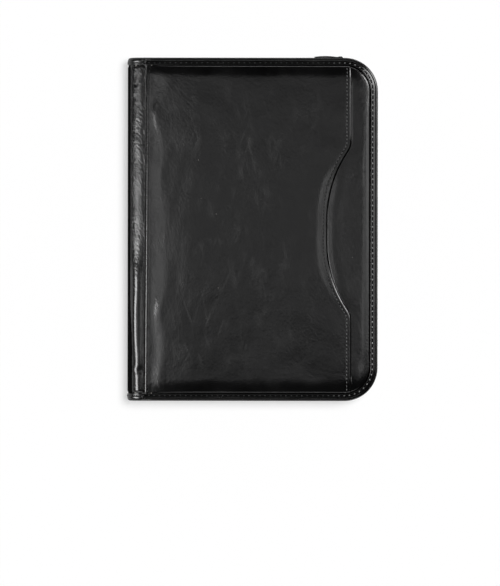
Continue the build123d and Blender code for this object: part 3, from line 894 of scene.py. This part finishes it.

# spine leather, its lining and end bindings, each in two halves
spine = {
    "back": -120.3,
    "crest": -105.5,  # highest line of the leather, beside the seam
    "sewnTo": -97.4, "high": 24.35, "sewnHigh": 23.5, "thickness": 0.75,
    "ridge": (1.5, 5.0, 1.9),  # a fold stands up along the lower half: height, half width, roundness
    "ridgeX": -111.7, "pinches": ((0.35, -137.5, 1.6), (0.2, -33.0, 1.5)),
    "dullFrom": -117.4,  # the rubbed back of the spine is duller
    "dullMore": 2.0,  # and wider towards the tail
    "heldTo": 157.2,  # beyond this the end bindings hold it
    "ends": 164.0, "liningBack": -117.1, "liningStart": -110.6, "liningHigh": 20.98,
    "liningRadius": 4.4,
}
halves = ((True, "Front"), (False, "Back"))


def halfOval(back, crest, high, steps):
    turn = np.linspace(0, math.pi / 2, steps)
    rise = high - cover["middle"]
    return np.column_stack([crest - (crest - back) * np.sin(turn), cover["middle"] + rise * np.cos(turn)])


def sideways(path):
    step = np.gradient(path, axis=0)
    step /= np.linalg.norm(step, axis=1)[:, None]
    return np.stack([step[:, 1], -step[:, 0]], -1)


def offsetGrid(path, y, offset):
    out = sideways(path)
    grid = np.empty((*np.broadcast(path[:, 0], offset).shape, 3))
    grid[..., 0] = path[:, 0] + out[:, 0] * offset
    grid[..., 1] = y
    grid[..., 2] = path[:, 1] + out[:, 1] * offset
    return grid


def spineHalf():
    s = spine
    sewn = np.column_stack([np.linspace(s["sewnTo"], s["crest"], 36)[:-1], np.full(35, s["high"])])
    path = np.vstack([sewn, halfOval(s["back"], s["crest"], s["high"], 40)])
    along = np.concatenate([[0], np.cumsum(np.linalg.norm(np.diff(path, axis=0), axis=1))])
    y = edgeSpaced(-s["ends"], s["ends"], 1.6, [0, 2, 4, 5.5, 6.7, 7.4, 8.2, 9.2, 10.5])[:, None]
    x, seam = path[None, :, 0], seamLine(y)
    held = softStep((s["heldTo"] - np.abs(y)) / 1.8)
    dip = (s["high"] - s["sewnHigh"]) * softStep((x - seam + 1.5) / 1.3)
    loose = softStep((seam - 1.2 - x) / 2.0) * softStep((x + 120.0) / 6)
    slack = 0.45 + 0.55 * softStep((-y - 25) / 40)
    crumple = 0.02 * waves(along[None, :], y / 2.5, 4.6, 21) * slack + 0.10 * waves(along[None, :] * 0.6, y, 24, 5)
    tall, half, bend = s["ridge"]
    drift = 2.2 * softStep((-y - 100) / 55) + 0.5 * np.sin(y / 11.0) - 1.7 * bell(y + 135, 3.0)
    aside = np.hypot(x - s["ridgeX"] - drift, bend) - bend
    ridge = tall * np.maximum(0, 1 - aside / half) * softStep((-y - 15) / 35)
    pinch = sum(depth * bell(y - at, width) for depth, at, width in s["pinches"])
    tucked = 0.75 * (1 - held) * softStep((s["crest"] + 3 - x) / 3)  # under the end bindings
    lift = held * loose * (crumple + ridge - pinch) - dip - tucked
    walls = [offsetGrid(path, y, depth) for depth in (lift, lift - s["thickness"])]
    return walls, float(along[-1])


def liningHalf():
    s = spine
    back, high, radius = s["liningBack"], s["liningHigh"], s["liningRadius"]
    turn = np.linspace(0, math.pi / 2, 14)
    flat = [(x, high) for x in np.arange(s["liningStart"], back + radius, -1.0)]
    bend = [(back + radius - radius * math.sin(a), high - radius + radius * math.cos(a)) for a in turn]
    path = np.array(flat + bend + [(back, z) for z in np.linspace(high - radius, cover["middle"], 4)[1:]])
    y = edgeSpaced(-s["ends"], s["ends"], 4.0, [0, 2, 5, 8])[:, None]
    ripple = 0.05 * waves(path[None, :, 0] + path[None, :, 1], y, 14, 17)
    return [offsetGrid(path, y, -depth - ripple) for depth in (0.02, 0.48)]


def foldBlend(obj, upper):
    if upper:
        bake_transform(obj)
    else:
        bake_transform(obj)


def isDull(x, y, z):
    return x < spine["dullFrom"] + spine["dullMore"] * softStep((-y - 60) / 60)


walls, girth = spineHalf()
for upper, side in halves:
    piece = closedSheet("spineLeather" + side, *(onSide(wall, upper) for wall in walls))
    dress(piece, spineLeather, "black_leather", None, "spine_cover")
    markFaces(piece, spineBackLeather, isDull)
    foldBlend(piece, upper)
walls = liningHalf()
for upper, side in halves:
    piece = closedSheet("spineLining" + side, *(onSide(wall, upper) for wall in walls))
    dress(piece, liningCloth, "lining_fabric", None, "spine_lining")
    foldBlend(piece, upper)

endBinding = {
    "back": -120.6, "high": 24.4, "stitchInset": 4.75, "stitchDepth": 0.55,
    "section": [
        (6.95, 0.95), (6.9, 0.45), (6.6, 0.12), (6.3, 0), (5.5, 0.02), (5.25, 0.2), (5, 0.42), (4.5, 0.44),
        (4.2, 0.3), (3.9, 0.14), (3.5, 0.08), (2.6, 0.1), (2.3, 0.2), (1.9, 0.42), (1.3, 0.62), (0.9, 0.95),
        (0.45, 1.5), (0.12, 2.2), (0.08, 2.5), (0.35, 3.1), (0.95, 3.8), (1.75, 4.36), (2.6, 4.62), (6.6, 4.66),
        (6.98, 4.4), (6.96, 3.95), (2.2, 3.92), (1.35, 3.4), (0.88, 2.55), (1.12, 2.1), (1.6, 1.8), (2.4, 1.45),
        (4, 1.1),
    ],
}
for end, label in ((1, "Head"), (-1, "Tail")):
    b = endBinding
    path = halfOval(b["back"], binding["start"], b["high"], 22)
    count, out = len(path), sideways(path)
    inset, depth = np.array(b["section"]).T
    pucker = 0.015 * waves(np.arange(count)[:, None] * 1.0, inset, 4.0, 31)
    depth = depth + pucker * np.exp(-((inset - 6) ** 2) / 8)
    rings = offsetGrid(path, 0, -depth.T).swapaxes(0, 1)
    rings[..., 1] = end * (halfHeight - inset)
    row = offsetGrid(path, end * (halfHeight - b["stitchInset"]), -b["stitchDepth"])
    for upper, side in halves:
        piece = closedTube("spine" + label + "Binding" + side, onSide(rings, upper))
        dress(piece, bindingLeather, "binding_leather", None, "spine_%s_binding" % label.lower())
        foldBlend(piece, upper)
        facing = np.column_stack([out[:, 0], np.zeros(count), out[:, 1] * (1 if upper else -1)])
        foldBlend(sew("spine" + label + "Stitches" + side, onSide(row, upper), facing, seamSewing), upper)
print("spine made")

# zip tapes, with the bay that the teeth stand back in ahead of the slider
tape = {
    "left": -109.0, "parting": 1.9, "bayFrom": 84.5, "bayTo": 92.0, "bayY": 150.0, "bayReach": 4.5,
    "section": [
        (0.95, 20.46), (0.95, 20.04), (2.45, 20.02), (2.62, 19.85), (2.66, 17.9), (2.66, 16.3), (2.6, 15.95),
        (2.62, 15.7), (2.9, 15.64), (3.18, 15.7), (3.2, 15.95), (3.14, 16.3), (3.14, 17.9), (3.14, 20.2),
        (3.05, 20.46),
    ],
}
for side, out in (("front", 1), ("back", -1)):
    strip = edgeStrip(side + "ZipTape", tape["left"], tape["section"], out > 0, tapeCloth)
    for v in strip.data.vertices:
        x, y, z = v.co / mm
        if y > tape["bayY"] and out * (z - cover["middle"]) < tape["bayReach"]:
            share = np.clip((tape["bayTo"] - x) / (tape["bayTo"] - tape["bayFrom"]), 0, 1)
            v.co.z += out * tape["parting"] * share * mm
    dress(strip, tapeCloth, "zip_tape", side + "_cover", side + "_zip_tape")
print("zip tapes made")

# linings and the pockets inside
inside = {
    "liningLeft": -110.4, "liningInset": 1.0, "lining": (20.54, 20.97),
    "document": (-104.0, 106.0, -150.0, 30.0), "documentZ": (20.5, 18.9), "documentStitch": 18.98,
    "slot": (-98.0, -2.0, 48.0), "slotTops": (105.0, 93.0, 81.0), "slotStep": 0.6, "slotStitch": 18.74,
    "padPocket": (-106.1, 112.4, -141.0, 61.8), "padPocketZ": (5.5, 7.1),
}
low, high = inside["lining"]
left, inset = inside["liningLeft"], inside["liningInset"]
x, y = panelGrid(inset, left, 5.0, [0, 0.3, 1, 3, 6], [0, 0.3, 1, 3, 6], 40)
loose = softStep(np.minimum(x - left, edgeDistance(x, y) - inset) / 6)
for side, seed in (("front", 41), ("back", 43)):
    face = low + np.abs(0.05 * waves(x, y, 30, seed)) * loose
    piece = slab(side + "Lining", x, y, face, high, side == "front")
    dress(piece, liningCloth, "lining_fabric", side + "_cover", side + "_lining")


def softPatch(name, box, base, top, thickness, roll, openTop, seed, sag=0.12):
    x0, x1, y0, y1 = box
    near = [0, 0.1, 0.25, 0.5, 0.9, 1.4, 2.0, 2.8, 4.0, 6.0]
    x, y = np.meshgrid(edgeSpaced(x0, x1, 4.0, near), edgeSpaced(y0, y1, 4.0, near))
    threeSides = np.minimum(np.minimum(x - x0, x1 - x), y - y0)
    edge = np.minimum(threeSides, y1 - y)
    sewn = threeSides if openTop else edge
    t = np.clip(sewn / roll, 0, 1)
    rise = np.sqrt(np.maximum(1 - (1 - t) ** 2, 0))
    gape = np.abs(sag * waves(x, y, 38, seed) * softStep(sewn / 12))
    out = np.sign(top - base)
    face = base + (top - base) * rise - out * (gape + 0.12 * bell(sewn - 2.6, 0.5))
    face = face - out * roundOff(edge, 0.4 * thickness) * softStep((np.abs(face - base) - 0.3) / 0.4)
    hidden = np.where(np.abs(face - base) > thickness + 0.02, face - out * thickness, base)
    return slab(name, x, y, face, hidden)


def patchStitches(name, box, z, inset=2.6):
    x0, x1, y0, y1 = box
    left, right = x0 + inset, x1 - inset
    stops = np.array([(left, y1 - 1.5), (left, y0 + inset), (right, y0 + inset), (right, y1 - 1.5)])
    runs = [np.linspace(a, b, 40, endpoint=False) for a, b in zip(stops, stops[1:])]
    points = np.concatenate(runs + [stops[-1:]])
    sew(name, np.insert(points, 2, z, axis=1), (0, 0, -1), fineSewing, "front_cover")


documents = softPatch("documentPocket", inside["document"], *inside["documentZ"], 0.6, 1.6, True, 51)
dress(documents, pocketLeather, "pocket_leather", "front_cover", "document_pocket")
patchStitches("documentStitches", inside["document"], inside["documentStitch"])

for i, slotTop in enumerate(inside["slotTops"]):
    x0, x1, y0 = inside["slot"]
    box, step = (x0, x1, y0, slotTop), inside["slotStep"]
    high = inside["documentZ"][0] - step * i
    slotPiece = softPatch("cardSlot%d" % (i + 1), box, high, high - step, 0.58, 0.5, False, 60 + i, 0.03)
    dress(slotPiece, pocketLeather, "pocket_leather", "front_cover", "card_slot_%d" % (i + 1))
patchStitches("slotStitches", box, inside["slotStitch"], 2.0)

padHolder = softPatch("padPocket", inside["padPocket"], *inside["padPocketZ"], 0.6, 1.2, True, 71, 0.02)
dress(padHolder, pocketLeather, "pocket_leather", "back_cover", "pad_pocket")

penLoop = {"centre": (-111.2, 13.0), "bore": 4.6, "outer": 5.38, "y0": 1.0, "y1": 39.0, "footBack": -116.58}
y = edgeSpaced(penLoop["y0"], penLoop["y1"], 1.5, [0, 0.12, 0.35, 0.8])[:, None]
turn = np.linspace(0, 2 * math.pi, 64, endpoint=False)
slim = np.clip(np.minimum(y - penLoop["y0"], penLoop["y1"] - y) / 0.35, 0.25, 1) ** 0.5
mid, half = (penLoop["outer"] + penLoop["bore"]) / 2, (penLoop["outer"] - penLoop["bore"]) / 2
wobble = np.abs(0.06 * waves(turn[None, :] * 3, y, 9, 77))
walls = []
for radius in (mid + half * slim * 0.96 - wobble * 0.6, mid - half * slim * 0.96):
    x = penLoop["centre"][0] + radius * np.cos(turn)
    z = penLoop["centre"][1] + radius * np.sin(turn)
    walls.append(np.stack([np.maximum(x, penLoop["footBack"]), np.broadcast_to(y, x.shape), z], -1))
loop = np.concatenate([walls[0], walls[1][::-1]])
piece = solid("penLoop", loop, gridFaces(*loop.shape[:2], 1, 1).tolist())
dress(piece, elasticCloth, "elastic", "spine", "pen_loop")
print("inside made")

# finishes on the rigid pieces that come straight from the frame
rigid = {
    "front_board back_board spine_stiffener": boardGrey,
    "front_zip_teeth back_zip_teeth": toothPlastic,
    "front_top_stop back_top_stop zip_bottom_stop slider_body zip_pull_tab": blackMetal,
    "pad_card": padCard, "pad_sheets": rulePaper, "pad_head_tape": padTape,
}
for names, finish in rigid.items():
    for name in names.split():
        nodes[name].data.materials.clear()
        nodes[name].data.materials.append(finish)

# floor, world, lamps and camera
stage = {"half": 30000, "z": -0.3, "glow": 0.55, "sky": 0.02, "horizon": 0.8}
half, z = stage["half"], stage["z"]
floor = makeObject("floor", [(-half, -half, z), (half, -half, z), (half, half, z), (-half, half, z)], [(0, 1, 2, 3)])
finish, tree = newFinish("paleFloor")
tree.nodes.remove(tree.nodes["Principled BSDF"])
matt = outputOf(tree, "BsdfDiffuse", {"Color": (0.94, 0.94, 0.94, 1)})
ray = addNode(tree, "LightPath").outputs
seen = mathNode("MAXIMUM", ray["Is Camera Ray"], ray["Is Glossy Ray"])
seen = mathNode("MAXIMUM", seen, ray["Is Transmission Ray"])
mix = outputOf(tree, "MixShader", {0: times(seen, stage["glow"]), 1: matt, 2: outputOf(tree, "Emission")})
link(mix, tree.nodes["Material Output"].inputs[0])
floor.data.materials.append(finish)

scene.world = bpy.data.worlds.new("studio")
scene.world.use_nodes = True
tree = scene.world.node_tree
around = addNode(tree, "TexCoord").outputs["Generated"]
height = addNode(tree, "SeparateXYZ", {0: around}).outputs["Z"]
sky = tree.nodes["Background"].inputs
link(valueRange(height, stage["horizon"], stage["sky"], 0.10, 0.22), sky["Strength"])
sky["Color"].default_value = (1, 1, 1, 1)

lamps = {  # place, size, tilt, turn and power
    "overhead": ((-0.0625, 0.07, 1.7), (0.665, 0.56), 0, 13, 0.72),
    "sideBox": ((-0.51, 0.02, 1.6), (0.26, 0.68), -16, 0, 1.2),
    "spineStrip": ((-0.87, -0.33, 0.88), (0.6, 0.76), -44.5, 0, 21.0),
    "mouthBox": ((0.52, -0.04, 1.6), (0.3, 0.5), 17, 0, 1.15),
    "foreEdgeBox": ((0.90, 0.18, 0.80), (0.8, 0.62), 48, 0, 3.2),
    "headStrip": ((0, 1.1, 0.25), (0.28, 1.3), 77, 90, 3.4),
    "tailStrip": ((0, -1.1, 0.25), (0.28, 1.3), 77, -90, 3.4),
    "cornerBox": ((0.82, 0.53, 0.62), (0.45, 0.45), 58, 33, 8.0),
}
key = {"place": (0.5, 0.2, 0.85), "turn": (-9, 19, 0), "strength": 3.45, "angle": 32}


def addLamp(name, kind, place, turn, power):
    light = bpy.data.lights.new(name, kind)
    light.energy = power
    lamp = bpy.data.objects.new(name, light)
    lamp.location = place
    lamp.rotation_euler = [math.radians(angle) for angle in turn]
    scene.collection.objects.link(lamp)
    return lamp, light


for name, (place, size, tilt, turn, power) in lamps.items():
    lamp, light = addLamp(name, "AREA", place, (0, tilt, turn), power)
    light.shape = "RECTANGLE"
    light.size, light.size_y = size
    lamp.visible_camera = lamp.visible_diffuse = False  # these make the highlights
lamp, light = addLamp("key", "SUN", key["place"], key["turn"], key["strength"])
light.angle = math.radians(key["angle"])
lamp.visible_glossy = False  # and this the shadow

view = {"centre": (-2.3, -61.25), "tall": 562.6, "lens": 200.0, "sensor": 36.0, "level": 26.0, "roll": 0.08}
camera = bpy.data.cameras.new("camera")
camera.lens, camera.sensor_width, camera.clip_end = view["lens"], view["sensor"], 100
scene.camera = bpy.data.objects.new("camera", camera)
away = view["tall"] * view["lens"] / view["sensor"] + view["level"]
scene.camera.location = (view["centre"][0] * mm, view["centre"][1] * mm, away * mm)
scene.camera.rotation_euler = (0, 0, math.radians(view["roll"]))
scene.collection.objects.link(scene.camera)
scene.view_settings.view_transform = "Standard"
print("floor, lamps and camera made")
